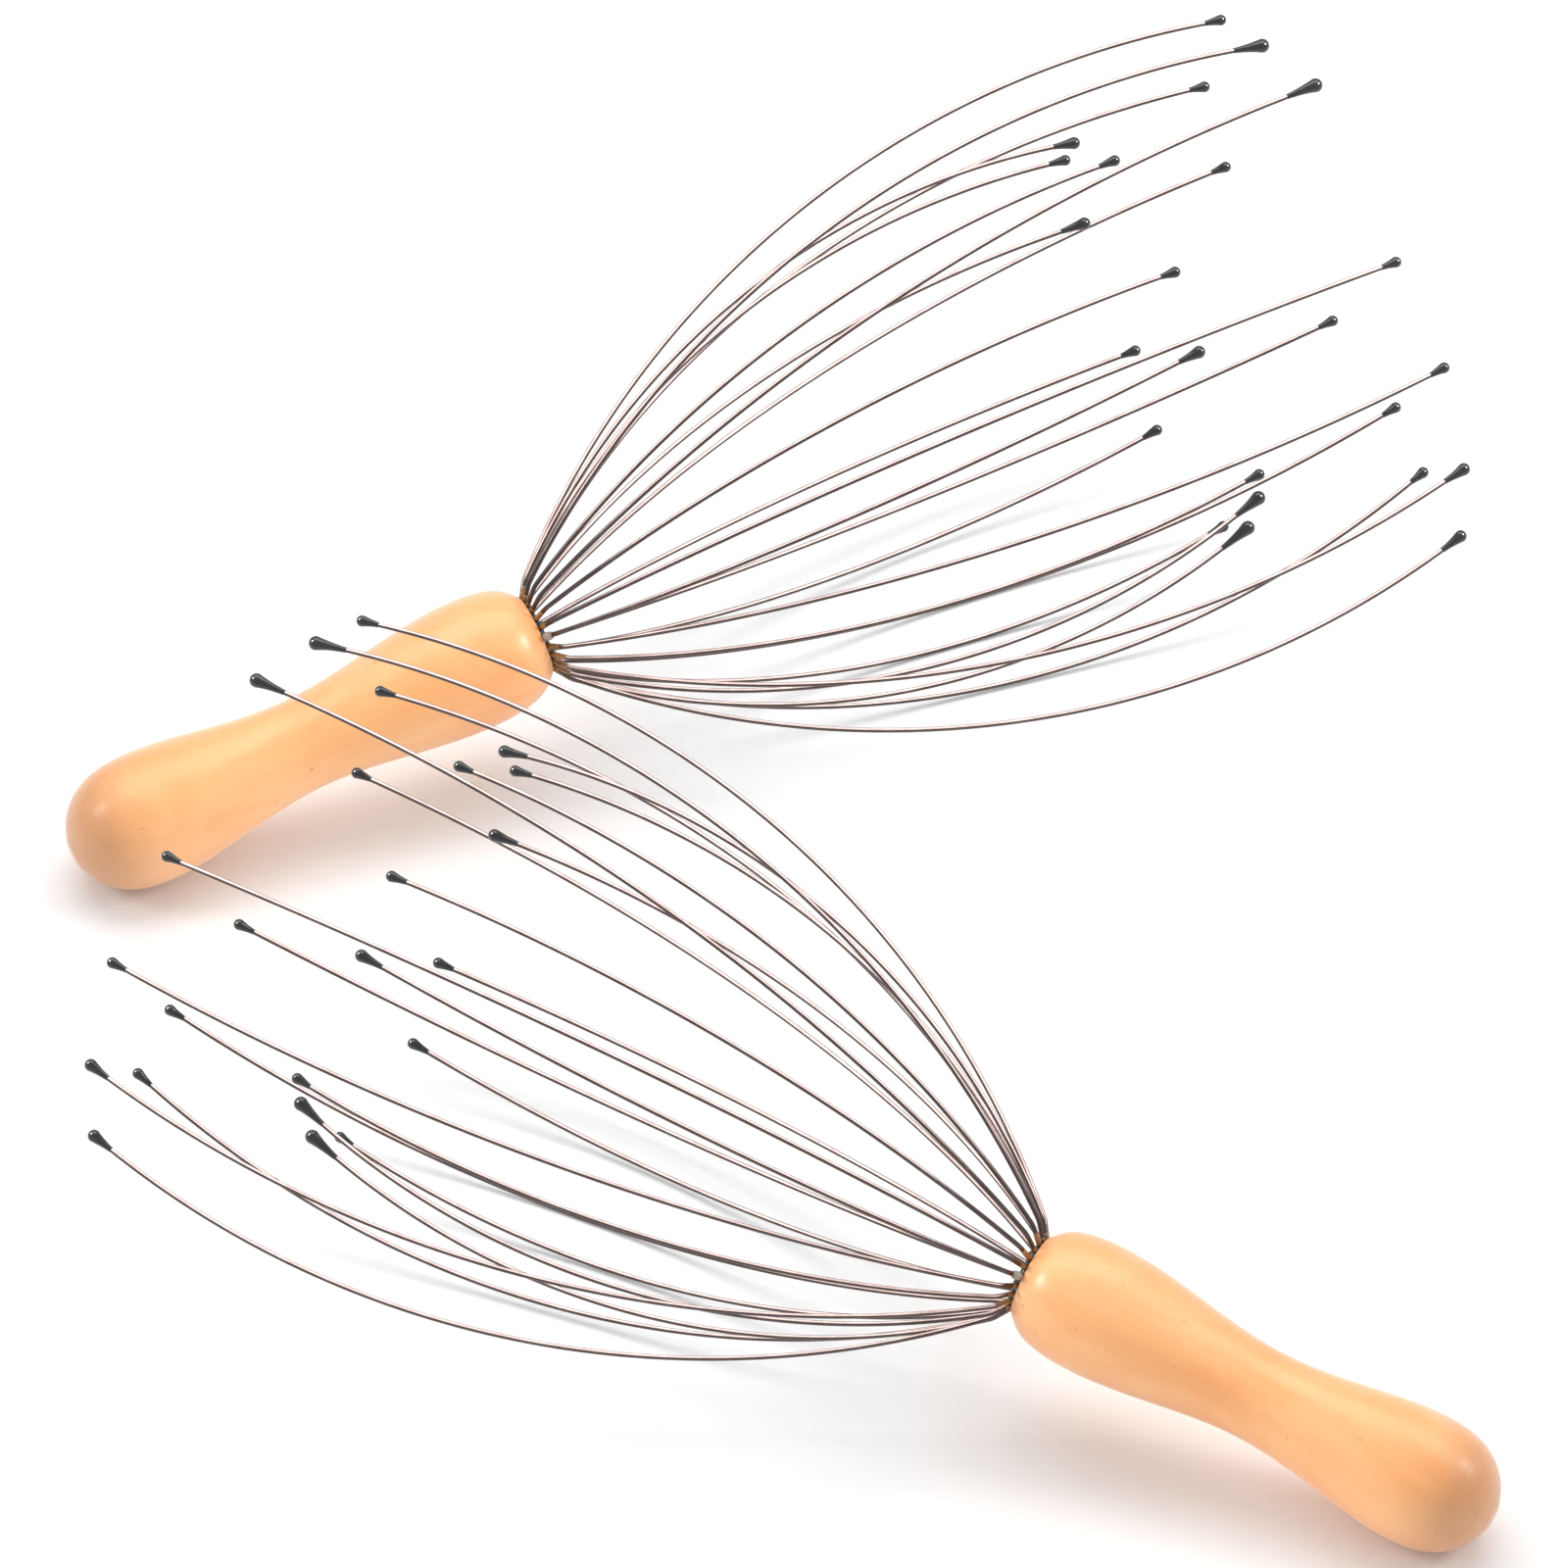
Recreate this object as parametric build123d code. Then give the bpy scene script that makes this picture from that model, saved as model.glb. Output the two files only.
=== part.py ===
from build123d import *
from math import cos, radians, sin
import os

# A pair of wire scalp massagers. Sizes are in millimetres and angles in degrees.
# Each is a turned wooden handle with a ring of springy steel tines glued into its mouth.
# Long and short tines alternate round the ring. The front massager mirrors the rear one.

# Turned handle: (radius, distance behind the front face), from the mouth rim to the butt
HANDLE_LENGTH = 104.0
RIM_RADIUS = 8.3
OUTLINE = [
    (11.1, 3.0),
    (12.8, 8.0),
    (13.3, 15.0),
    (11.9, 30.0),
    (9.5, 51.0),
    (11.3, 69.0),
    (13.5, 88.0),
    (12.4, 95.0),
    (9.6, 99.8),
    (6.6, 102.3),
]
BUTT_FLAT = 2.6

# Mouth: a blind bore that holds the ring of wires round a core plug, closed by glue
BORE_RADIUS = 6.8
BORE_DEPTH = 24.0
MOUTH_CHAMFER = 1.1
PLUG_RADIUS = 5.6
PLUG_FRONT = 4.0
GLUE_EDGE = 1.8
GLUE_CROWN = 0.9
INNER_GAP = 0.1

# Wires: straight shanks in the bore, each bent outwards where it leaves the mouth
WIRE_RADIUS = 0.5
TINES = 24
PAIRS = TINES // 2
TINE_STEP = 360.0 / TINES
SHANK_RING = 6.2
SHANK_DEPTH = 20.0
SHANK_BEND = 1.7
ROOT_ANGLE = 56.0
SHANK_PROUD = 1.35
FLEX_GAP = 0.3
ROOT_LENGTH = 4.4
ROOT_BEND = 6.0
FLARE = 41.0
LONG_TINE, LONG_CURL = 190.0, 57.0
SHORT_TINE, SHORT_CURL = 147.0, 44.0

# Dipped beads round the wires' ends, by size: (ball radius, grip back along the wire)
BEADS = {"small": (1.17, 2.5), "medium": (1.32, 3.8), "large": (1.5, 5.4)}
MEDIUM_BEADS = (1, 4, 6, 15, 19)
LARGE_BEADS = (5, 7, 20, 22)
BEAD_NECK = 0.62
BEAD_SPREAD = 0.06
BEAD_SHOULDER = 105.0
BEAD_EASE = 0.3
BALL_PAST_END = 0.7

# How each hand-set tine strays from an even ring: (flare, sideways lean, curl). Even places are long.
STRAY = [
    (-3, 3.5, -5),
    (2, -2, -1),
    (-3, 1.5, -12),
    (-1.5, -0.5, 1),
    (1, 1, -3),
    (-2, 0, 11),
    (3, 2, -1),
    (-1, 2, 10),
    (1, 0.5, 1),
    (-0.5, 0.5, 4),
    (-4.5, -1, -9),
    (0.5, 1.5, 3),
    (0, -2, 0),
    (-2, -3, 5),
    (3, -1, -7),
    (-2, -1, 5),
    (3.5, -4.5, -1),
    (-1, -2, 8),
    (1, -1, 0),
    (0, -2, 12),
    (0, 0, 1),
    (-4.5, 1, -1),
    (-5, 0.5, -14),
    (-3, 2.5, 3),
]

# How they lie: the butt and the lowest tines on the ground. Face centre, heading, roll and hand.
RISE = 12.0
BRUSHES = {
    "rear": ((-48.5, 49.9, 32.03), 23.5, 35.0, 1),
    "front": ((50.5, -128.6, 32.03), 153.5, 33.0, -1),
}


def seat(face, heading):
    """A massager's own frame: origin at the face centre, z along the axis to the tines, x uppermost."""
    rise, turn = radians(RISE), radians(heading)
    axis = (cos(rise) * cos(turn), cos(rise) * sin(turn), sin(rise))
    up = (-sin(rise) * cos(turn), -sin(rise) * sin(turn), cos(rise))
    return Plane(origin=face, x_dir=up, z_dir=axis).location


def turned(lines):
    """The solid turned about z from a closed outline of (radius, height)."""
    return revolve(Plane.XZ * make_face(lines), Axis.Z)


def handle():
    """Wood turned to a bulge, a waist and a rounded butt, with the bored and chamfered mouth."""
    rim = (RIM_RADIUS, 0)
    butt = (BUTT_FLAT, -HANDLE_LENGTH)
    side = Spline([rim] + [(radius, -back) for radius, back in OUTLINE] + [butt])
    mouth = Polyline(
        butt,
        (0, -HANDLE_LENGTH),
        (0, -BORE_DEPTH),
        (BORE_RADIUS, -BORE_DEPTH),
        (BORE_RADIUS, -MOUTH_CHAMFER),
        (BORE_RADIUS + MOUTH_CHAMFER, 0),
        rim,
    )
    return turned([side, mouth])


def core_plug():
    """The dowel that the ring of wires is packed round."""
    length = BORE_DEPTH - INNER_GAP - PLUG_FRONT
    return Pos(0, 0, -PLUG_FRONT - length / 2) * Cylinder(PLUG_RADIUS, length)


def mouth_glue():
    """A domed plug of glue between the shanks, on the front of the core plug."""
    edge = (PLUG_RADIUS, -GLUE_EDGE)
    crown = (0, -GLUE_CROWN)
    dome = TangentArc(crown, edge, tangent=(1, 0))
    return turned([dome, Polyline(edge, (PLUG_RADIUS, -PLUG_FRONT), (0, -PLUG_FRONT), crown)])


def wire(path):
    """Round wire along a path drawn as (distance from the axis, height)."""
    path = Plane.XZ * path
    return sweep(Plane(origin=path @ 0, z_dir=path % 0) * Circle(WIRE_RADIUS), path=path)


def along_root(distance):
    """A point on the straight root of a tine, from where it crosses the plane of the front face."""
    angle = radians(ROOT_ANGLE)
    crossing = SHANK_RING + SHANK_BEND * (1 - cos(angle))
    return (crossing + distance * sin(angle), distance * cos(angle))


def shank():
    """The fixed end of a wire: straight in the bore, bent at the mouth and cut just outside it."""
    bend_start = (SHANK_RING, -SHANK_BEND * sin(radians(ROOT_ANGLE)))
    straight = Line((SHANK_RING, -SHANK_DEPTH), bend_start)
    bend = JernArc(bend_start, (0, 1), SHANK_BEND, -ROOT_ANGLE)
    return wire(straight + bend + Line(bend @ 1, along_root(SHANK_PROUD)))


def tine_path(place):
    """The free part of a tine: its straight root, a small bend, then one long even curve."""
    flare, _, curl = STRAY[place]
    is_long = place % 2 == 0
    length = LONG_TINE if is_long else SHORT_TINE
    turn = curl + (LONG_CURL if is_long else SHORT_CURL)
    root = Line(along_root(SHANK_PROUD + FLEX_GAP), along_root(ROOT_LENGTH))
    bend = JernArc(root @ 1, root % 1, ROOT_BEND, ROOT_ANGLE - FLARE - flare)
    return root + bend + JernArc(bend @ 1, bend % 1, length / radians(turn), turn)


def bead_size(place):
    """The radius of a tine's bead and how far back along the wire it grips."""
    if place in LARGE_BEADS:
        return BEADS["large"]
    return BEADS["medium"] if place in MEDIUM_BEADS else BEADS["small"]


def tip(place, path, steel):
    """The pear-shaped bead on a wire's end, with the wire's own shape left out of it."""
    path = Plane.XZ * path
    ball, grip = bead_size(place)
    centre = BALL_PAST_END * ball
    tilt = radians(BEAD_SHOULDER)
    neck = (BEAD_NECK, -grip)
    shoulder = (ball * sin(tilt), centre + ball * cos(tilt))
    ease = BEAD_EASE * (shoulder[1] + grip)
    off_neck = (BEAD_NECK + BEAD_SPREAD * ease, -grip + ease)
    off_ball = (shoulder[0] + ease * cos(tilt) / sin(tilt), shoulder[1] - ease)
    side = (ball * cos(radians(45)), centre + ball * sin(radians(45)))
    crown = (0, centre + ball)
    bead = turned([
        Bezier(neck, off_neck, off_ball, shoulder),
        ThreePointArc(shoulder, side, crown),
        Polyline(crown, (0, -grip), neck),
    ])
    return Plane(origin=path @ 1, z_dir=path % 1).location * bead - steel


def round_ring(place, roll, hand):
    """Where a tine stands in the ring, leaning sideways by its own stray angle."""
    lean = STRAY[place][1]
    return Rot(0, 0, hand * (roll + place * TINE_STEP)) * Rot(-hand * lean, 0, 0)


def export(name, solids):
    """Writes one node."""
    export_step(Compound(children=list(solids)), f"parts/{name}.step")


def build_brush(name, face, heading, roll, hand):
    """Writes every piece of one massager, where it lies."""
    place = seat(face, heading)
    export(f"{name}_handle", [place * handle()])
    export(f"{name}_core_plug", [place * core_plug()])
    export(f"{name}_mouth_glue", [place * mouth_glue()])
    turns = [Rot(0, 0, hand * (roll + n * TINE_STEP)) for n in range(TINES)]
    export(f"{name}_wire_shanks", [place * turn * shank() for turn in turns])
    for pair in range(PAIRS):
        wires, tips = [], []
        for n in (2 * pair, 2 * pair + 1):
            path = tine_path(n)
            steel = wire(path)
            spot = place * round_ring(n, roll, hand)
            wires.append(spot * steel)
            tips.append(spot * tip(n, path, steel))
        export(f"{name}_tines_{pair + 1:02d}", wires)
        export(f"{name}_tips_{pair + 1:02d}", tips)


os.makedirs("parts", exist_ok=True)
for brush_name, (face, heading, roll, hand) in BRUSHES.items():
    build_brush(brush_name, face, heading, roll, hand)
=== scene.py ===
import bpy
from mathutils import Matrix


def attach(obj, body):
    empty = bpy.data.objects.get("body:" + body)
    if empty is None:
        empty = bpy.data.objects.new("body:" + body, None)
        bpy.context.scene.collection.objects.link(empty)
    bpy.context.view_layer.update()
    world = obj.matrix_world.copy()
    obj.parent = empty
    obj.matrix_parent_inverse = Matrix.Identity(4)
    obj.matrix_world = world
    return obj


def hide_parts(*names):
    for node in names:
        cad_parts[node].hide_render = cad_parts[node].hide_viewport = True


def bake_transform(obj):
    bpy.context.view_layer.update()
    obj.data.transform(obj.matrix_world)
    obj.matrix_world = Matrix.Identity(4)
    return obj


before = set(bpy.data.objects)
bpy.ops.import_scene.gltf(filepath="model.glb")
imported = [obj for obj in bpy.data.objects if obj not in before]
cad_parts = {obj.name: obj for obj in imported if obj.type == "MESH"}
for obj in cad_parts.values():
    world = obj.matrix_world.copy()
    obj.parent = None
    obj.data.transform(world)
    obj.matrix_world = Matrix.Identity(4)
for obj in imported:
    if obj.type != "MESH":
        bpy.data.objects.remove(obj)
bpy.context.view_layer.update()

import math
import random

import bmesh
import bpy
import numpy as np
from mathutils import Matrix, Vector

# A pair of wire scalp massagers. The shapes repeat the CAD's sizes, in millimetres and degrees,
# and MM turns them into the metres that Blender uses.
MM = 0.001

# Turned handle: (radius, distance behind the front face). The points were picked by hand from widths that
# a script measured in the photo.
HANDLE_LENGTH = 104.0
RIM_RADIUS = 8.3
OUTLINE = [(11.1, 3.0), (12.8, 8.0), (13.3, 15.0), (11.9, 30.0), (9.5, 51.0), (11.3, 69.0), (13.5, 88.0),
           (12.4, 95.0), (9.6, 99.8), (6.6, 102.3)]
BUTT_FLAT = 2.6
BORE_RADIUS = 6.8
BORE_DEPTH = 24.0
MOUTH_CHAMFER = 1.1
BORE_ROWS = (18.0, 12.0, 6.0, 3.0, 1.6, 1.25)
RIM_ROUND = 0.2
HANDLE_SIDES = 160

# A faint ring that the turning left near the butt
TURNED_RING = 96.6
GROOVE_DEPTH = 0.03
GROOVE_WIDTH = 0.35

# Glue in the mouth: its level, the ring that stands proud of it, and how far it covers the chamfer
GLUE_LEVEL = -1.5
GLUE_UNDER = -3.95
GLUE_SPREAD = 1.3
PROUD_HEIGHT, PROUD_RADIUS, PROUD_WIDTH = 2.75, 7.1, 1.05
GLUE_RINGS, GLUE_SIDES = 34, 240

# Amber glue that has crept out along each wire: where it starts, how far out it reaches, how thick it is
COLLAR_START = -1.3
COLLAR_REACH = (1.6, 5.2)
COLLAR_THICKNESS = (0.05, 0.13)

# One clear drop of glue, on the wire in this place of the ring: its middle and its half length along the
# wire, how much it swells, and how far it sits to the wire's outer side
CLEAR_DROP_AT = 1
DROP_CENTRE, DROP_HALF_LENGTH, DROP_GIRTH, DROP_SAG = 2.3, 1.35, 0.62, 0.25

# Wires
WIRE_RADIUS = 0.5
TINES = 24
PAIRS = TINES // 2
TINE_STEP = 360.0 / TINES
SHANK_RING = 6.2
SHANK_DEPTH = 20.0
SHANK_BEND = 1.7
ROOT_ANGLE = 56.0
ROOT_LENGTH = 4.4
ROOT_BEND = 6.0
FLARE = 41.0
LONG_TINE, LONG_CURL = 190.0, 57.0
SHORT_TINE, SHORT_CURL = 147.0, 44.0
# How each tine strays from an even ring: (flare, sideways lean, curl). The rows repeat part.py's: a
# program's least-squares fit to the photo, rounded, with the flare of the 9th to 12th moved.
STRAY = [(-3, 3.5, -5), (2, -2, -1), (-3, 1.5, -12), (-1.5, -0.5, 1), (1, 1, -3), (-2, 0, 11), (3, 2, -1),
         (-1, 2, 10), (1, 0.5, 1), (-0.5, 0.5, 4), (-4.5, -1, -9), (0.5, 1.5, 3), (0, -2, 0), (-2, -3, 5),
         (3, -1, -7), (-2, -1, 5), (3.5, -4.5, -1), (-1, -2, 8), (1, -1, 0), (0, -2, 12), (0, 0, 1),
         (-4.5, 1, -1), (-5, 0.5, -14), (-3, 2.5, 3)]
WIRE_SIDES = 16
SHANK_SIDES = 12
BURIED = 3.0
# Where a wire is divided more finely than along its curve: (from, to, spacing)
FINE_STEPS = (
    (-BURIED, -1.7, 0.6),
    (-1.7, 0.0, 0.28),
    (0.0, ROOT_LENGTH, 0.8),
    (ROOT_LENGTH, ROOT_LENGTH + 2.4, 0.4),
)
CURVE_STEP = 1.5
# Two distances out along a wire at which the middle of each pair is worked out
BEND_START, BEND_END = 1.0, 128.0

# Dipped beads, by size: (ball radius, grip back along the wire). Which tines carry the larger ones comes
# from bead widths that a script measured in the photo.
BEADS = {"small": (1.17, 2.5), "medium": (1.32, 3.8), "large": (1.5, 5.4)}
MEDIUM_BEADS = (1, 4, 6, 15, 19)
LARGE_BEADS = (5, 7, 20, 22)
BEAD_NECK = 0.56
BEAD_SPREAD = 0.06
BEAD_SHOULDER = 105.0
BEAD_EASE = 0.3
BALL_PAST_END = 0.7
FLANK_ROWS, BALL_ROWS = 18, 13
BEAD_SIDES = 28

# Face centre, heading, roll and hand
RISE = 12.0
BRUSHES = {
    "rear": ((-48.5, 49.9, 32.03), 23.5, 35.0, 1),
    "front": ((50.5, -128.6, 32.03), 153.5, 33.0, -1),
}


# ---------------------------------------------------------------- shapes

def seat(face, heading):
    """A massager's own frame, z along its axis to the tines and x uppermost, in metres."""
    rise, turn = math.radians(RISE), math.radians(heading)
    axis = Vector((math.cos(rise) * math.cos(turn), math.cos(rise) * math.sin(turn), math.sin(rise)))
    up = Vector((-math.sin(rise) * math.cos(turn), -math.sin(rise) * math.sin(turn), math.cos(rise)))
    side = axis.cross(up)
    matrix = Matrix((up, side, axis)).transposed().to_4x4()
    matrix.translation = Vector(face) * MM
    return matrix


def smoothstep(x, low, high):
    """x from low to high, as 0 to 1, with a smooth start and end."""
    t = min(1.0, max(0.0, (x - low) / (high - low)))
    return t * t * (3 - 2 * t)


def new_object(name, verts, faces, matrix=None):
    """A flat-shaded object from points in metres, which it also keeps as an attribute in its own frame."""
    mesh = bpy.data.meshes.new(name)
    mesh.from_pydata([tuple(v) for v in verts], [], faces)
    mesh.update()
    own = mesh.attributes.new("own", "FLOAT_VECTOR", "POINT")
    own.data.foreach_set("vector", np.array([tuple(v) for v in verts], np.float32).ravel())
    if matrix is not None:
        mesh.transform(matrix)
    obj = bpy.data.objects.new(name, mesh)
    bpy.context.scene.collection.objects.link(obj)
    return obj


def wire_course(place):
    """The stretches of a wire from the plane of the front face out: (length, turn outwards in degrees)."""
    flare, _, curl = STRAY[place]
    is_long = place % 2 == 0
    bend = ROOT_ANGLE - FLARE - flare
    return [
        (ROOT_LENGTH, 0.0),
        (ROOT_BEND * math.radians(bend), -bend),
        (LONG_TINE if is_long else SHORT_TINE, -(curl + (LONG_CURL if is_long else SHORT_CURL))),
    ]


def crossing_radius():
    """How far from the axis a wire crosses the plane of the front face."""
    return SHANK_RING + SHANK_BEND * (1 - math.cos(math.radians(ROOT_ANGLE)))


def wire_length(place):
    return sum(length for length, _ in wire_course(place))


def wire_point(place, s):
    """(radius, height, heading outwards) at s out from the plane of the front face; s < 0 is inside it."""
    if s < 0:
        bend = SHANK_BEND * math.radians(ROOT_ANGLE)
        if s < -bend:
            return SHANK_RING, -SHANK_BEND * math.sin(math.radians(ROOT_ANGLE)) + (s + bend), 0.0
        a = math.radians(ROOT_ANGLE) + s / SHANK_BEND
        height = SHANK_BEND * (math.sin(a) - math.sin(math.radians(ROOT_ANGLE)))
        return SHANK_RING + SHANK_BEND * (1 - math.cos(a)), height, a
    r, z, heading = crossing_radius(), 0.0, math.radians(ROOT_ANGLE)
    for length, turn in wire_course(place):
        step = min(s, length)
        k = math.radians(turn) / length
        if abs(k) < 1e-9:
            r, z = r + step * math.sin(heading), z + step * math.cos(heading)
        else:
            end = heading + k * step
            r -= (math.cos(end) - math.cos(heading)) / k
            z += (math.sin(end) - math.sin(heading)) / k
            heading = end
        s -= step
        if s <= 0:
            return r, z, heading
    return r + s * math.sin(heading), z + s * math.cos(heading), heading


def section(place, s, roll, hand):
    """A wire's centre at s in the massager's frame, in millimetres, and its sideways and outward ways."""
    r, z, heading = wire_point(place, s)
    lean = math.radians(STRAY[place][1]) * smoothstep(s, -0.6, 2.0)
    around = Matrix.Rotation(math.radians(hand * (roll + place * TINE_STEP)), 3, "Z")
    turn = around @ Matrix.Rotation(-hand * lean, 3, "X")
    centre = turn @ Vector((r, 0, z))
    sideways = turn @ Vector((0, 1, 0))
    outward = turn @ Vector((math.cos(heading), 0, -math.sin(heading)))
    return centre, sideways, outward


def add_tube(verts, faces, along, rings, sides):
    """Adds a closed tube through rings of (centre, a, b, radius, distance)."""
    first = len(verts)
    for centre, a, b, radius, s in rings:
        for k in range(sides):
            t = 2 * math.pi * k / sides
            verts.append((centre + radius * (math.cos(t) * a + math.sin(t) * b)) * MM)
            along.append(s)
    for i in range(len(rings) - 1):
        for k in range(sides):
            p, q = first + i * sides + k, first + i * sides + (k + 1) % sides
            faces.append((p, q, q + sides, p + sides))
    for ring, order in ((0, -1), (len(rings) - 1, 1)):
        centre, a, b, radius, s = rings[ring]
        verts.append(centre * MM)
        along.append(s)
        hub = len(verts) - 1
        for k in range(sides):
            p, q = first + ring * sides + k, first + ring * sides + (k + 1) % sides
            faces.append((p, q, hub)[::order])


def fix_normals(obj):
    """Turns a closed mesh's faces outwards and shades them smooth."""
    bm = bmesh.new()
    bm.from_mesh(obj.data)
    bmesh.ops.recalc_face_normals(bm, faces=bm.faces)
    bm.to_mesh(obj.data)
    bm.free()
    obj.data.polygons.foreach_set("use_smooth", [True] * len(obj.data.polygons))
    obj.data.update()


def put_along(obj, along):
    """Stores each point's distance from the mouth, for the materials."""
    attribute = obj.data.attributes.new("along", "FLOAT", "POINT")
    attribute.data.foreach_set("value", np.array(along, np.float32))


def add_tubes(name, courses, sides, matrix):
    """One piece made of closed tubes, each given by its rings."""
    verts, faces, along = [], [], []
    for rings in courses:
        add_tube(verts, faces, along, rings, sides)
    obj = new_object(name, verts, faces, matrix)
    put_along(obj, along)
    fix_normals(obj)
    return obj


def steps(start, end, spacing):
    """Even distances from start up to, but without, end."""
    count = max(1, math.ceil((end - start) / spacing))
    return [start + (end - start) * i / count for i in range(count)]


def tine_wires(name, pair, matrix, roll, hand):
    """Both wires of a pair, from inside the mouth to their ends, as one piece."""
    courses = []
    for place in (2 * pair, 2 * pair + 1):
        end = wire_length(place)
        spots = [spot for stretch in FINE_STEPS for spot in steps(*stretch)]
        spots += steps(FINE_STEPS[-1][1], end, CURVE_STEP) + [end]
        courses.append([(*section(place, s, roll, hand), WIRE_RADIUS, s) for s in spots])
    return add_tubes(name, courses, WIRE_SIDES, matrix)


def bead_profile(place, rng):
    """(distance past the wire's end, radius) down a dipped bead, a little different each time."""
    size = "large" if place in LARGE_BEADS else "medium" if place in MEDIUM_BEADS else "small"
    ball, grip = BEADS[size]
    ball *= rng.uniform(0.97, 1.0)
    grip *= rng.uniform(0.9, 1.08)
    centre, tilt = BALL_PAST_END * ball, math.radians(BEAD_SHOULDER)
    start, end = (-grip, BEAD_NECK), (centre + ball * math.cos(tilt), ball * math.sin(tilt))
    ease = BEAD_EASE * (end[0] - start[0])
    controls = (start, (start[0] + ease, start[1] + BEAD_SPREAD * ease),
                (end[0] - ease, end[1] + ease * math.cos(tilt) / math.sin(tilt)), end)
    rows = []
    for i in range(FLANK_ROWS):
        t = i / FLANK_ROWS
        weights = ((1 - t) ** 3, 3 * t * (1 - t) ** 2, 3 * t ** 2 * (1 - t), t ** 3)
        rows.append(tuple(sum(w * c[n] for w, c in zip(weights, controls)) for n in (0, 1)))
    for i in range(BALL_ROWS):
        a = tilt * (1 - i / BALL_ROWS)
        rows.append((centre + ball * math.cos(a), ball * math.sin(a)))
    return rows


def tine_beads(name, pair, matrix, roll, hand, rng):
    """The dipped beads on the ends of a pair of wires, each hanging a little to one side."""
    courses = []
    for place in (2 * pair, 2 * pair + 1):
        end = wire_length(place)
        rings = []
        rows = bead_profile(place, rng)
        sag, way = rng.uniform(0.02, 0.16), rng.uniform(0, 2 * math.pi)
        for u, radius in rows:
            centre, a, b = section(place, end + u, roll, hand)
            slip = sag * smoothstep(u, rows[0][0], 0.0)
            rings.append((centre + slip * (math.cos(way) * a + math.sin(way) * b), a, b, radius, u))
        courses.append(rings)
    return add_tubes(name, courses, BEAD_SIDES, matrix)


def shanks(name, matrix, roll, hand):
    """The fixed ends of the wires, down in the bore."""
    spots = (-SHANK_DEPTH - 0.25, -15.0, -10.0, -6.0, -BURIED + 0.3)
    courses = [[(*section(place, s, roll, hand), WIRE_RADIUS, s) for s in spots] for place in range(TINES)]
    return add_tubes(name, courses, SHANK_SIDES, matrix)


def natural_cubic(points, per_span):
    """A smooth line through points, by arc-like chord lengths."""
    p = np.array(points, float)
    t = np.concatenate([[0], np.cumsum(np.linalg.norm(np.diff(p, axis=0), axis=1))])
    n = len(p)
    h = np.diff(t)
    system = np.zeros((n, n))
    right = np.zeros((n, 2))
    system[0, 0] = system[-1, -1] = 1
    for i in range(1, n - 1):
        system[i, i - 1:i + 2] = h[i - 1], 2 * (h[i - 1] + h[i]), h[i]
        right[i] = 6 * ((p[i + 1] - p[i]) / h[i] - (p[i] - p[i - 1]) / h[i - 1])
    m = np.linalg.solve(system, right)
    out = []
    for i in range(n - 1):
        for j in range(per_span):
            x = t[i] + h[i] * j / per_span
            a, b = t[i + 1] - x, x - t[i]
            out.append((m[i] * a ** 3 + m[i + 1] * b ** 3) / (6 * h[i])
                       + (p[i] / h[i] - m[i] * h[i] / 6) * a + (p[i + 1] / h[i] - m[i + 1] * h[i] / 6) * b)
    out.append(p[-1])
    return out


def circle(r, sides, height):
    """Points round the axis at radius r, in metres, at the heights that height(r, t) gives."""
    angles = [2 * math.pi * k / sides for k in range(sides)]
    return [Vector((r * math.cos(t), r * math.sin(t), height(r, t))) * MM for t in angles]


def round_piece(name, verts, sides, matrix):
    """A closed piece from a point on the axis, rings of points round it, and a last point on it."""
    faces = []
    rows = (len(verts) - 2) // sides
    for k in range(sides):
        q = (k + 1) % sides
        faces.append((0, 1 + q, 1 + k))
        for i in range(rows - 1):
            a = 1 + i * sides
            faces.append((a + k, a + q, a + q + sides, a + k + sides))
        a = 1 + (rows - 1) * sides
        faces.append((a + k, a + q, len(verts) - 1))
    obj = new_object(name, verts, faces, matrix)
    fix_normals(obj)
    return obj


def lathe(name, profile, matrix, sides):
    """A turned closed solid from (radius, height) points, whose first and last lie on the axis."""
    verts = [Vector((0, 0, profile[0][1])) * MM]
    for r, z in profile[1:-1]:
        verts += circle(r, sides, lambda _r, _t: z)
    verts.append(Vector((0, 0, profile[-1][1])) * MM)
    return round_piece(name, verts, sides, matrix)


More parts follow.
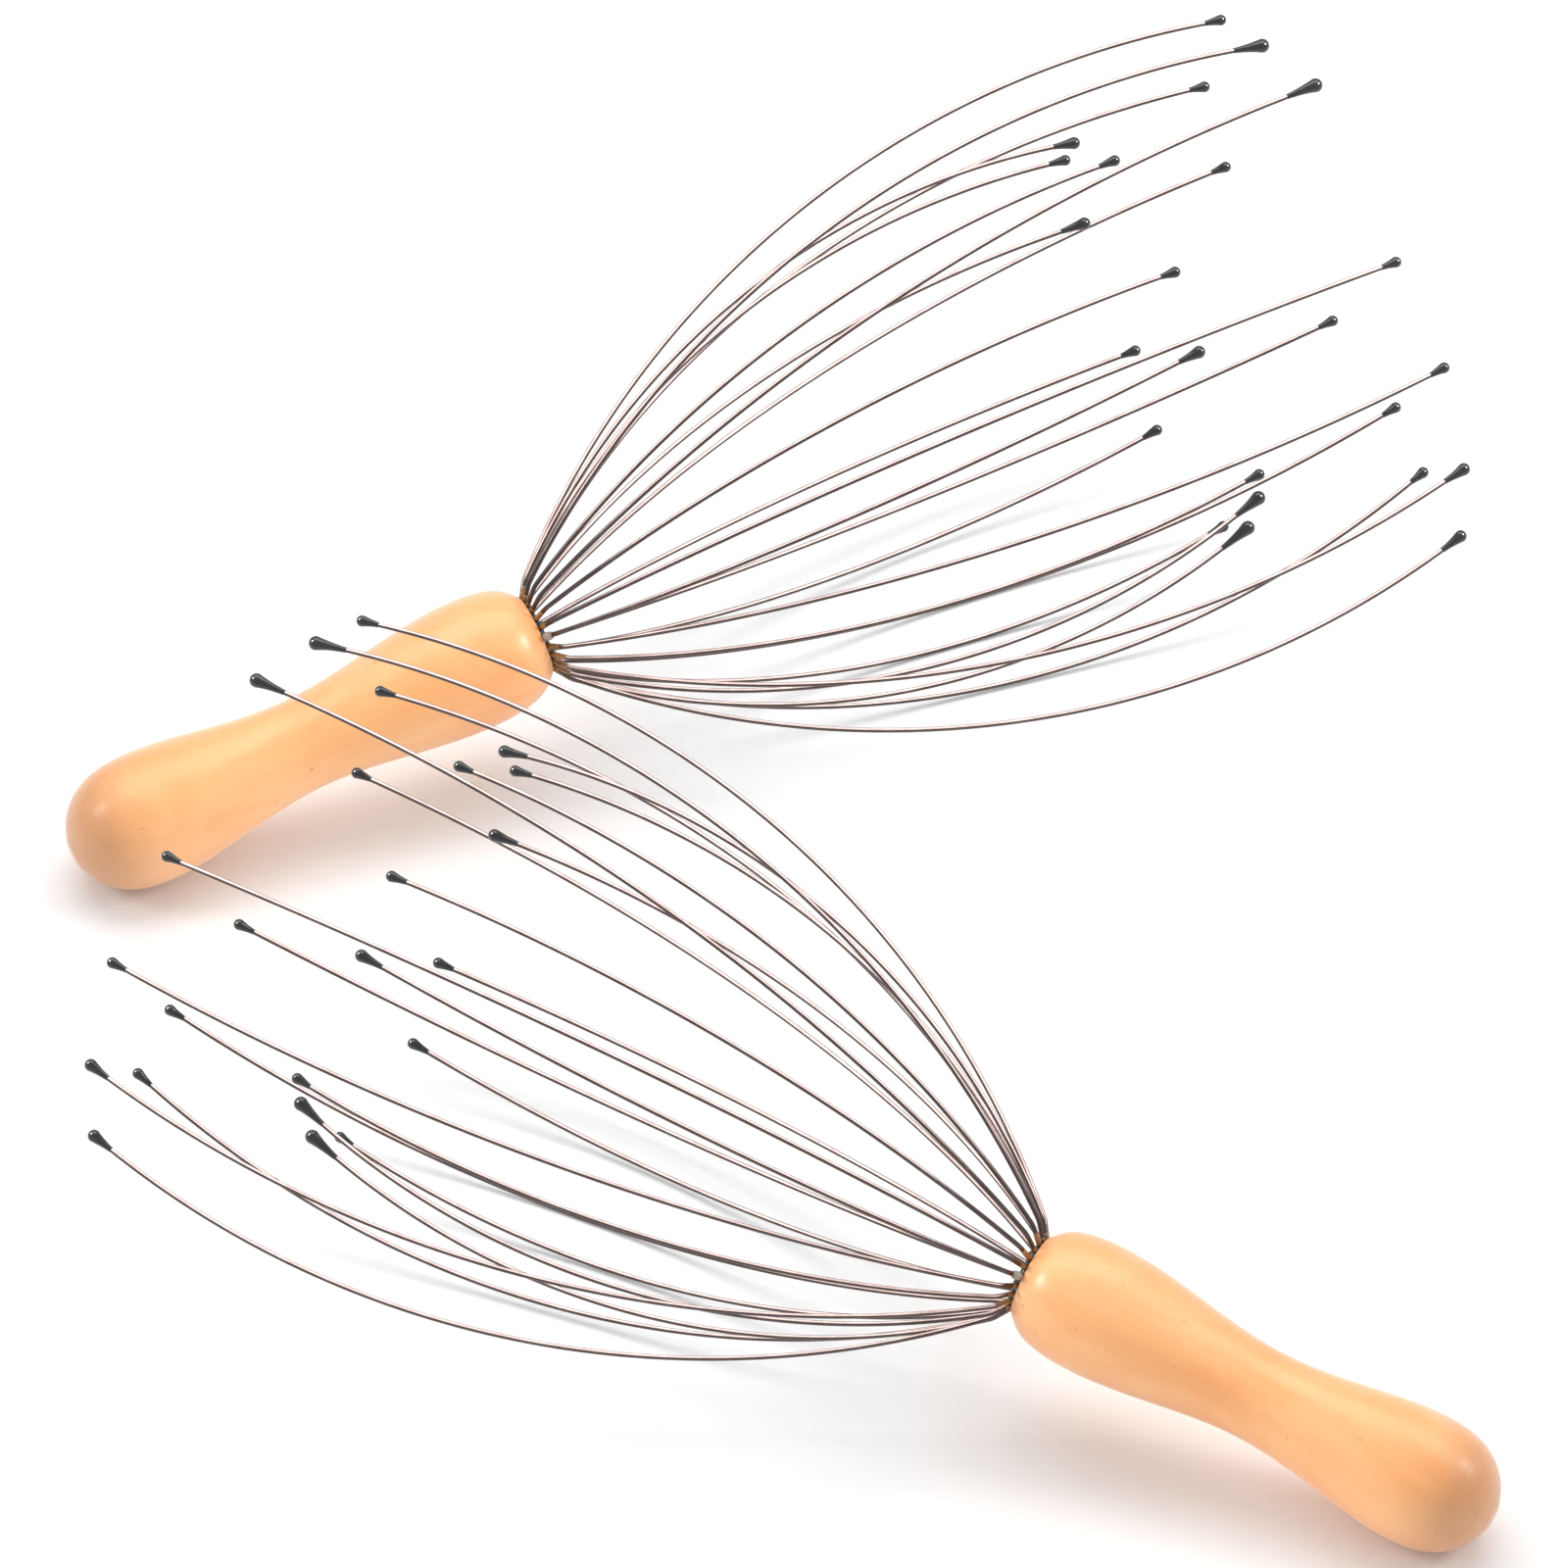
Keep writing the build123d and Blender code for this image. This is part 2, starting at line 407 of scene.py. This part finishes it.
def handle(name, matrix):
    """The turned handle: the bore, the chamfer with its eased edges, the rounded rim, then the outside."""
    drawn = [(RIM_RADIUS, 0)] + [(r, -back) for r, back in OUTLINE] + [(BUTT_FLAT, -HANDLE_LENGTH)]
    outer = natural_cubic(drawn, 14)
    profile = [(0, -BORE_DEPTH), (BORE_RADIUS - 0.3, -BORE_DEPTH), (BORE_RADIUS, -BORE_DEPTH + 0.3)]
    profile += [(BORE_RADIUS, -z) for z in BORE_ROWS]
    profile += [(BORE_RADIUS + 0.03, -MOUTH_CHAMFER - 0.02), (BORE_RADIUS + 0.12, -MOUTH_CHAMFER + 0.1)]
    profile += [(BORE_RADIUS + 0.5, -MOUTH_CHAMFER + 0.48), (BORE_RADIUS + MOUTH_CHAMFER - 0.12, -0.14)]
    profile += [(BORE_RADIUS + MOUTH_CHAMFER + 0.02, -0.02), (RIM_RADIUS - 0.22, 0.0)]
    for a in (0, 25, 50, 75):
        t = math.radians(a)
        profile.append((RIM_RADIUS - 0.12 + RIM_ROUND * math.sin(t), RIM_ROUND * (math.cos(t) - 1)))
    for r, z in outer:
        if z < -0.45 and r > 0.2:
            groove = GROOVE_DEPTH * math.exp(-((z + TURNED_RING) / GROOVE_WIDTH) ** 2)
            profile.append((r - groove, z))
    profile += [(BUTT_FLAT * 0.6, -HANDLE_LENGTH), (0, -HANDLE_LENGTH)]
    return lathe(name, profile, matrix, HANDLE_SIDES)


def glue(name, matrix, rng):
    """Set glue that fills the mouth, lumpy, and stands proud between the wires and on the chamfer."""
    waves = [(n, rng.uniform(0.05, 0.16), rng.uniform(0, 2 * math.pi)) for n in (2, 3, 5, 8, 13)]
    lumps = [(rng.uniform(0, 4.6), rng.uniform(0, 2 * math.pi),
              rng.uniform(0.7, 1.6), rng.uniform(-0.35, 0.5)) for _ in range(16)]
    edge = BORE_RADIUS + GLUE_SPREAD
    inside = BORE_RADIUS - 0.01

    def height(r, t):
        x, y = r * math.cos(t), r * math.sin(t)
        z = GLUE_LEVEL
        for d, a, w, h in lumps:
            z += h * math.exp(-(((x - d * math.cos(a)) ** 2 + (y - d * math.sin(a)) ** 2) / w ** 2))
        proud = PROUD_HEIGHT + sum(h * math.sin(n * t + shift) for n, h, shift in waves)
        z += proud * math.exp(-((r - PROUD_RADIUS) / PROUD_WIDTH) ** 2)
        lip = smoothstep(r, edge - 0.5, edge)
        return z * (1 - lip) + 0.015 * lip

    verts = [Vector((0, 0, height(0, 0))) * MM]
    for i in range(1, GLUE_RINGS + 1):
        verts += circle(edge * i / GLUE_RINGS, GLUE_SIDES, height)
    chamfer_top = (BORE_RADIUS + MOUTH_CHAMFER - 0.02, -0.04)
    for r, z in (chamfer_top, (inside, -MOUTH_CHAMFER - 0.02), (inside, GLUE_UNDER)):
        verts += circle(r, GLUE_SIDES, lambda _r, _t: z)
    verts.append(Vector((0, 0, GLUE_UNDER)) * MM)
    return round_piece(name, verts, GLUE_SIDES, matrix)


def clear_drop(name, matrix, roll, hand):
    """A drop of clear glue left on one wire beside the rim."""
    rings = []
    for i in range(1, 20):
        t = math.pi * i / 20
        s = DROP_CENTRE - DROP_HALF_LENGTH * math.cos(t)
        centre, a, b = section(CLEAR_DROP_AT, s, roll, hand)
        radius = WIRE_RADIUS * 0.6 + DROP_GIRTH * math.sin(t) ** 0.8
        rings.append((centre + DROP_SAG * math.sin(t) * b, a, b, radius, s))
    return add_tubes(name, [rings], 32, matrix)


def collars(name, matrix, roll, hand, rng):
    """Amber glue that has crept out along each wire from the mouth."""
    courses = []
    for place in range(TINES):
        reach = rng.uniform(*COLLAR_REACH)
        thick = rng.uniform(*COLLAR_THICKNESS)
        rings = []
        for i in range(13):
            t = i / 12
            s = COLLAR_START + (reach - COLLAR_START) * t
            swell = thick * (1 - t ** 3) + 0.10 * math.exp(-((t - 0.15) / 0.15) ** 2) + 0.006
            rings.append((*section(place, s, roll, hand), WIRE_RADIUS + swell, s))
        courses.append(rings)
    return add_tubes(name, courses, 16, matrix)


# ---------------------------------------------------------------- materials

class Nodes:
    """Short calls for building a material's nodes."""

    def __init__(self, name):
        self.material = bpy.data.materials.new(name)
        self.material.use_nodes = True
        self.tree = self.material.node_tree
        self.shader = next(n for n in self.tree.nodes if n.type == "BSDF_PRINCIPLED")

    def node(self, kind, inputs=(), **settings):
        n = self.tree.nodes.new(kind)
        for key, value in settings.items():
            setattr(n, key, value)
        for key, value in dict(inputs).items():
            self.feed(n.inputs[key], value)
        return n

    def feed(self, socket, value):
        if isinstance(value, bpy.types.NodeSocket):
            self.tree.links.new(value, socket)
        elif isinstance(value, bpy.types.Node):
            self.tree.links.new(value.outputs[0], socket)
        else:
            socket.default_value = value

    def set(self, **values):
        for key, value in values.items():
            self.feed(self.shader.inputs[key.replace("_", " ")], value)

    def math(self, operation, a, b=0.0, clamp=False):
        n = self.tree.nodes.new("ShaderNodeMath")
        n.operation, n.use_clamp = operation, clamp
        self.feed(n.inputs[0], a)
        self.feed(n.inputs[1], b)
        return n.outputs[0]

    def mix(self, factor, a, b, blend="MIX"):
        n = self.tree.nodes.new("ShaderNodeMix")
        n.data_type, n.blend_type = "RGBA", blend
        self.feed(n.inputs[0], factor)
        self.feed(n.inputs[6], a)
        self.feed(n.inputs[7], b)
        return n.outputs[2]

    def ramp(self, value, stops):
        n = self.tree.nodes.new("ShaderNodeValToRGB")
        elements = n.color_ramp.elements
        while len(elements) < len(stops):
            elements.new(0.5)
        for element, (position, colour) in zip(elements, stops):
            element.position = position
            element.color = colour if len(colour) == 4 else (*colour, 1)
        self.feed(n.inputs[0], value)
        return n.outputs[0]

    def spread(self, value, low, high):
        """value from low to high, as 0 to 1."""
        n = self.tree.nodes.new("ShaderNodeMapRange")
        n.interpolation_type = "SMOOTHSTEP"
        self.feed(n.inputs[0], value)
        self.feed(n.inputs[1], low)
        self.feed(n.inputs[2], high)
        return n.outputs[0]

    def noise(self, vector, scale, detail=3.0, rough=0.5, distortion=0.0):
        return self.node("ShaderNodeTexNoise", {"Vector": vector, "Scale": scale, "Detail": detail,
                                                "Roughness": rough, "Distortion": distortion}).outputs[0]

    def place(self):
        """A point's place in its massager's own frame, in metres."""
        return self.node("ShaderNodeAttribute", attribute_name="own").outputs["Vector"]

    def along(self):
        """A point's distance out along its wire from the mouth, in millimetres."""
        return self.node("ShaderNodeAttribute", attribute_name="along").outputs["Fac"]

    def scaled(self, vector, scale):
        return self.node("ShaderNodeMapping", {"Vector": vector, "Scale": scale}).outputs[0]

    def bump(self, height, distance, strength):
        inputs = {"Height": height, "Distance": distance, "Strength": strength}
        return self.node("ShaderNodeBump", inputs).outputs[0]


def grey(v):
    return (v, v, v, 1)


def wood_grain(m, where, fibre):
    """The wood's own colour: broad tone, growth figure, fibres and short dark flecks."""
    tone = m.noise(m.scaled(where, (55, 55, 24)), 1.0, 4.0, 0.55, 0.6)
    colour = m.ramp(tone, [(0.32, (0.90, 0.365, 0.115)), (0.5, (0.955, 0.44, 0.165)),
                           (0.68, (0.985, 0.51, 0.225))])
    # growth figure: rings about a pith beside the axis
    x, y, _ = m.node("ShaderNodeSeparateXYZ", {0: where}).outputs
    wobble = m.noise(m.scaled(where, (30, 30, 8)), 1.0, 3.0, 0.55)
    px = m.math("ADD", x, 0.021)
    py = m.math("ADD", y, 0.009)
    reach = m.math("SQRT", m.math("ADD", m.math("MULTIPLY", px, px), m.math("MULTIPLY", py, py)))
    ring = m.math("ADD", m.math("MULTIPLY", reach, 520.0), m.math("MULTIPLY", wobble, 5.0))
    late = m.spread(m.math("FRACT", ring), 0.55, 0.97)
    colour = m.mix(m.math("MULTIPLY", late, 0.07), colour, (0.72, 0.36, 0.14, 1))
    colour = m.mix(m.math("MULTIPLY", fibre, 0.16), colour, (0.78, 0.43, 0.19, 1))
    fleck = m.spread(m.noise(m.scaled(where, (820, 820, 380)), 1.0, 1.0, 0.4), 0.755, 0.80)
    return m.mix(m.math("MULTIPLY", fleck, 0.4), colour, (0.42, 0.17, 0.06, 1))


def wood_ends(m, where, colour):
    """The butt darkened as end grain and with painted shade, the turned ring, and the mouth's rim darkened
    as end grain and with painted shade.
    """
    z = m.node("ShaderNodeSeparateXYZ", {0: where}).outputs[2]
    # Painted shade and darker end grain over the butt's last 20 millimetres
    butt = m.spread(z, -0.084, -0.104)
    patch = m.noise(m.scaled(where, (60, 60, 60)), 1.0, 3.0, 0.55)
    shade = m.math("MULTIPLY", butt, m.math("ADD", 0.45, m.math("MULTIPLY", patch, 0.6)), clamp=True)
    colour = m.mix(shade, colour, (0.54, 0.26, 0.12, 1))
    band = m.math("ABSOLUTE", m.math("ADD", z, TURNED_RING * MM))
    band = m.math("SUBTRACT", 1.0, m.spread(band, 0.0001, 0.0005))
    colour = m.mix(m.math("MULTIPLY", band, 0.13), colour, (0.5, 0.27, 0.11, 1))
    # Painted shade and darker end grain at the mouth's rim
    mouth = m.spread(z, -0.0012, 0.0002)
    return m.mix(m.math("MULTIPLY", mouth, 0.25), colour, (0.62, 0.33, 0.14, 1))


def wood_material():
    m = Nodes("lacquered_wood")
    where = m.place()
    fibre = m.spread(m.noise(m.scaled(where, (1500, 1500, 45)), 1.0, 4.0, 0.6), 0.35, 0.75)
    colour = wood_ends(m, where, wood_grain(m, where, fibre))
    peel = m.noise(where, 900.0, 2.0, 0.5)
    height = m.math("ADD", m.math("MULTIPLY", fibre, 0.5), m.math("MULTIPLY", peel, 0.5))
    rough = m.math("ADD", 0.44, m.math("MULTIPLY", m.noise(where, 120.0, 3.0, 0.6), 0.12))
    m.set(Base_Color=colour, Roughness=rough, Normal=m.bump(height, 0.00002, 0.5),
          Coat_Weight=0.65, Coat_Roughness=0.28, Coat_IOR=1.5,
          Sheen_Weight=0.3, Sheen_Roughness=0.45, Sheen_Tint=(1.0, 0.76, 0.72, 1),
          Subsurface_Weight=0.06, Subsurface_Radius=(1.0, 0.45, 0.25), Subsurface_Scale=0.002)
    return m.material


def dowel_material():
    m = Nodes("plain_wood")
    where = m.node("ShaderNodeTexCoord").outputs["Object"]
    fibre = m.noise(m.scaled(where, (900, 900, 60)), 1.0, 4.0, 0.6)
    m.set(Base_Color=m.ramp(fibre, [(0.3, (0.5, 0.33, 0.18)), (0.7, (0.66, 0.47, 0.29))]), Roughness=0.7,
          Normal=m.bump(fibre, 0.00005, 0.6))
    return m.material


def steel_material():
    m = Nodes("steel_wire")
    along = m.along()
    where = m.place()
    drawn = m.noise(where, 4200.0, 2.0, 0.5)
    tone = m.noise(m.math("MULTIPLY", along, 0.09), 1.0, 3.0, 0.6)
    base = m.ramp(tone, [(0.3, (0.10, 0.074, 0.069)), (0.7, (0.155, 0.124, 0.117))])
    base = m.mix(m.math("MULTIPLY", m.spread(drawn, 0.45, 0.75), 0.22), base, (0.08, 0.052, 0.045, 1))
    heat = m.math("SUBTRACT", 1.0, m.spread(along, 4.0, 16.0))
    base = m.mix(m.math("MULTIPLY", heat, 0.2), base, (0.06, 0.035, 0.026, 1))
    rough = m.math("ADD", 0.14, m.math("MULTIPLY", drawn, 0.08))
    m.set(Base_Color=base, Metallic=1.0, Roughness=rough)
    return m.material


def bead_material():
    m = Nodes("black_tip")
    where = m.place()
    cloud = m.noise(where, 700.0, 3.0, 0.55)
    base = m.ramp(cloud, [(0.3, (0.005, 0.005, 0.006)), (0.75, (0.014, 0.013, 0.014))])
    m.set(Base_Color=base, Roughness=m.math("ADD", 0.12, m.math("MULTIPLY", cloud, 0.12)),
          Normal=m.bump(m.noise(where, 380.0, 2.0, 0.5), 0.00004, 0.5), Coat_Weight=0.5, Coat_Roughness=0.08)
    return m.material


def glue_material():
    m = Nodes("dark_glue")
    where = m.place()
    cloud = m.noise(where, 420.0, 4.0, 0.6, 0.8)
    base = m.ramp(cloud, [(0.3, (0.006, 0.004, 0.003)), (0.55, (0.03, 0.016, 0.008)),
                          (0.78, (0.16, 0.075, 0.02))])
    m.set(Base_Color=base, Roughness=m.math("ADD", 0.12, m.math("MULTIPLY", cloud, 0.2)),
          Normal=m.bump(m.noise(where, 1500.0, 3.0, 0.6), 0.00006, 0.6),
          Coat_Weight=0.5, Coat_Roughness=0.08)
    return m.material


def amber_material():
    m = Nodes("amber_glue")
    where = m.place()
    along = m.along()
    cloud = m.noise(where, 800.0, 4.0, 0.6, 0.5)
    base = m.ramp(cloud, [(0.3, (0.12, 0.05, 0.014)), (0.55, (0.33, 0.155, 0.045)),
                          (0.75, (0.46, 0.23, 0.08))])
    base = m.mix(m.spread(along, 2.1, 0.4), base, (0.035, 0.016, 0.007, 1))
    m.set(Base_Color=base, Roughness=m.math("ADD", 0.22, m.math("MULTIPLY", cloud, 0.15)),
          Normal=m.bump(cloud, 0.00005, 0.5), Coat_Weight=0.3, Coat_Roughness=0.1)
    return m.material


def clear_material():
    m = Nodes("clear_glue")
    where = m.place()
    cloud = m.noise(where, 900.0, 3.0, 0.55)
    m.set(Base_Color=m.ramp(cloud, [(0.3, (0.55, 0.50, 0.44)), (0.7, (0.85, 0.82, 0.77))]),
          Roughness=m.math("ADD", 0.06, m.math("MULTIPLY", cloud, 0.1)), Transmission_Weight=0.55, IOR=1.45)
    return m.material


def floor_material():
    m = Nodes("floor")
    where = m.node("ShaderNodeTexCoord").outputs["Object"]
    mottle = m.noise(where, 3.0, 2.0, 0.5)
    m.set(Base_Color=m.ramp(mottle, [(0.3, grey(0.94)), (0.7, grey(0.96))]), Roughness=0.85,
          Specular_IOR_Level=0.15)
    return m.material


# ---------------------------------------------------------------- the massagers

WOOD, DOWEL, STEEL, BEAD = wood_material(), dowel_material(), steel_material(), bead_material()
GLUE, AMBER, CLEAR = glue_material(), amber_material(), clear_material()


def finish_piece(obj, body, material, slot, *nodes):
    """Gives a piece its material and body, and hides the CAD nodes that it replaces."""
    obj.data.materials.append(material)
    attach(obj, body)
    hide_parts(*nodes)


def cad_material(node, material):
    """Gives a carried-over CAD node its procedural material."""
    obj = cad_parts[node]
    for s in obj.material_slots:
        s.material = material
    if not obj.material_slots:
        obj.data.materials.append(material)


def pair_centre(pair, s, roll, hand):
    """The middle between a pair's two wires at s, in millimetres."""
    return sum((section(place, s, roll, hand)[0] for place in (2 * pair, 2 * pair + 1)), Vector()) / 2


def massager(name, face, heading, roll, hand):
    """One whole massager, where it lies."""
    rng = random.Random(name)
    matrix = seat(face, heading)
    body = f"{name}_massager"
    wood = handle(f"{name}_turned_handle", matrix)
    finish_piece(wood, body, WOOD, "lacquered_wood", f"{name}_handle")
    fixed = shanks(f"{name}_shanks", matrix, roll, hand)
    finish_piece(fixed, body, STEEL, "steel_wire", f"{name}_wire_shanks")
    filling = glue(f"{name}_glue", matrix, rng)
    finish_piece(filling, body, GLUE, "dark_glue", f"{name}_mouth_glue")
    creep = collars(f"{name}_glue_creep", matrix, roll, hand, rng)
    creep.data.materials.append(AMBER)
    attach(creep, body)
    drop = clear_drop(f"{name}_clear_drop", matrix, roll, hand)
    drop.data.materials.append(CLEAR)
    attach(drop, body)
    cad_material(f"{name}_core_plug", DOWEL)
    for pair in range(PAIRS):
        number = f"{pair + 1:02d}"
        moving = f"{name}_pair_{number}"
        wires = tine_wires(f"{moving}_wires", pair, matrix, roll, hand)
        wires.data.materials.append(STEEL)
        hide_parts(f"{name}_tines_{number}")
        root, far = (matrix @ (pair_centre(pair, s, roll, hand) * MM) for s in (BEND_START, BEND_END))
        tuple(root)
        tuple(far)
        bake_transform(wires)
        beads = tine_beads(f"{moving}_beads", pair, matrix, roll, hand, rng)
        finish_piece(beads, moving, BEAD, "black_tip", f"{name}_tips_{number}")


for brush, settings in BRUSHES.items():
    massager(brush, *settings)

# ---------------------------------------------------------------- studio

FLOOR_HALF = 5
floor_corners = [(x * FLOOR_HALF, y * FLOOR_HALF, 0) for x, y in ((-1, -1), (1, -1), (1, 1), (-1, 1))]
floor = new_object("floor", floor_corners, [(0, 1, 2, 3)])
floor.data.materials.append(floor_material())


def softbox(name, position, size, power, tint=(1, 1, 1)):
    """A rectangular lamp that faces the massagers."""
    light = bpy.data.lights.new(name, "AREA")
    light.shape, light.size, light.size_y = "RECTANGLE", *size
    light.energy, light.color = power, tint
    obj = bpy.data.objects.new(name, light)
    obj.location = position
    obj.rotation_mode = "QUATERNION"
    obj.rotation_quaternion = (-Vector(position)).to_track_quat("-Z", "Y")
    bpy.context.scene.collection.objects.link(obj)
    return obj


def only_on(light, pieces):
    """Lets a light fall on certain pieces alone."""
    group = bpy.data.collections.new(light.name)
    for piece in pieces:
        group.objects.link(piece)
    light.light_linking.receiver_collection = group


WARM, ROSE = (1, 0.985, 0.96), (1, 0.975, 0.968)
softbox("overhead", (0.0, 0.5, 1.3), (1.6, 0.9), 11.5)
softbox("right", (1.3, 0.0, 0.95), (0.4, 0.5), 4.5, WARM)
softbox("left", (-1.3, 0.0, 0.95), (0.4, 0.5), 4.5, WARM)
# The steel and the beads are small and shiny, so they have panels of their own to mirror
made = [o for o in bpy.context.scene.objects if o.type == "MESH"]
all_wires = [o for o in made if o.name.endswith("_wires")]
only_on(softbox("wire_panel", (0.0, 0.3, 1.1), (4.4, 2.4), 320, ROSE), all_wires)
for brush, side in (("rear", 1), ("front", -1)):
    own_beads = [o for o in made if o.name.startswith(brush) and o.name.endswith("_beads")]
    only_on(softbox(f"{brush}_bead_lamp", (0.9 * side, 0.12, 0.79), (0.2, 0.2), 17), own_beads)
    only_on(softbox(f"{brush}_wood_lamp", (1.0 * side, -0.04, 0.7), (0.34, 0.34), 6),
            [bpy.data.objects[f"{brush}_turned_handle"]])

world = bpy.data.worlds.new("studio")
world.use_nodes = True
background = next(n for n in world.node_tree.nodes if n.type == "BACKGROUND")
background.inputs["Color"].default_value = (0.955, 0.98, 1, 1)
background.inputs["Strength"].default_value = 0.66
bpy.context.scene.world = world

# The photographer's view, from far back: degrees above the floor, metres, and millimetres of lens
ELEVATION, DISTANCE, LENS = 45.5, 6.0, 680.0
AIM = Vector((0.0017, 0.039, 0.0))
tilt = math.radians(ELEVATION)
camera_data = bpy.data.cameras.new("camera")
camera_data.lens = LENS
camera_data.sensor_width = 36.0
camera_data.clip_start, camera_data.clip_end = 0.05, 50
camera = bpy.data.objects.new("camera", camera_data)
camera.location = AIM + DISTANCE * Vector((0, -math.cos(tilt), math.sin(tilt)))
camera.rotation_mode = "QUATERNION"
camera.rotation_quaternion = (AIM - camera.location).to_track_quat("-Z", "Y")
bpy.context.scene.collection.objects.link(camera)
bpy.context.scene.camera = camera
bpy.context.scene.view_settings.view_transform = "Standard"
bpy.context.scene.view_settings.look = "None"

bpy.context.view_layer.update()
